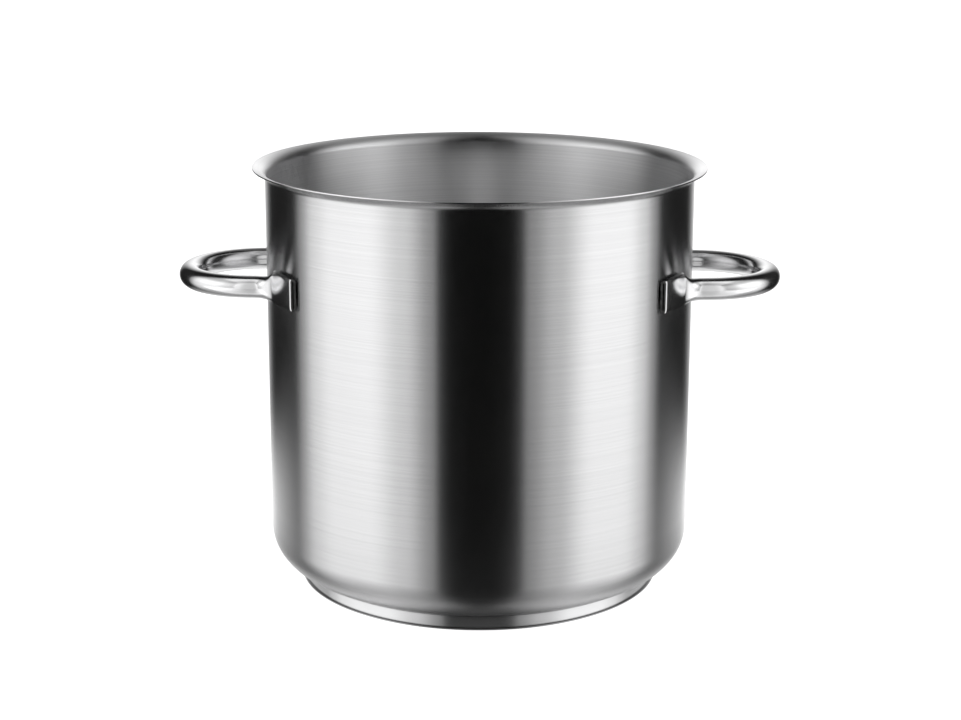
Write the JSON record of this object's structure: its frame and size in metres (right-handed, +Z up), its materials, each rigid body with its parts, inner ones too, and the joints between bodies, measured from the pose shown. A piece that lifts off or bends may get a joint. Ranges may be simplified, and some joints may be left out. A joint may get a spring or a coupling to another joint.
{
  "type": "stock pot",
  "caption": "Deep straight-sided stock pot with a flared pouring rim, a sandwich base and tube loop handles spot-welded to the wall by their flattened ends.",
  "frame": {"origin": "middle of the base's underside, on the surface that the pot stands on", "axes": "+Z up along the pot's axis, +X through the middle of the right handle, +Y away from the front"},
  "size_m": [0.4568, 0.341, 0.32],
  "materials": {
    "satin_steel": "satin, brushed round the pot",
    "polished_steel": "mirror polished",
    "core_aluminium": "raw",
    "weld_steel": "as welded"
  },
  "bodies": {
    "root": {"pot_shell": "satin_steel", "core_disc": "core_aluminium", "base_cap": "polished_steel", "right_handle": "polished_steel", "left_handle": "polished_steel", "spot_weld_right_front_1": "weld_steel", "spot_weld_right_front_2": "weld_steel", "spot_weld_right_front_3": "weld_steel", "spot_weld_right_front_4": "weld_steel", "spot_weld_right_rear_1": "weld_steel", "spot_weld_right_rear_2": "weld_steel", "spot_weld_right_rear_3": "weld_steel", "spot_weld_right_rear_4": "weld_steel", "spot_weld_left_front_1": "weld_steel", "spot_weld_left_front_2": "weld_steel", "spot_weld_left_front_3": "weld_steel", "spot_weld_left_front_4": "weld_steel", "spot_weld_left_rear_1": "weld_steel", "spot_weld_left_rear_2": "weld_steel", "spot_weld_left_rear_3": "weld_steel", "spot_weld_left_rear_4": "weld_steel"}
  },
  "joints": []
}
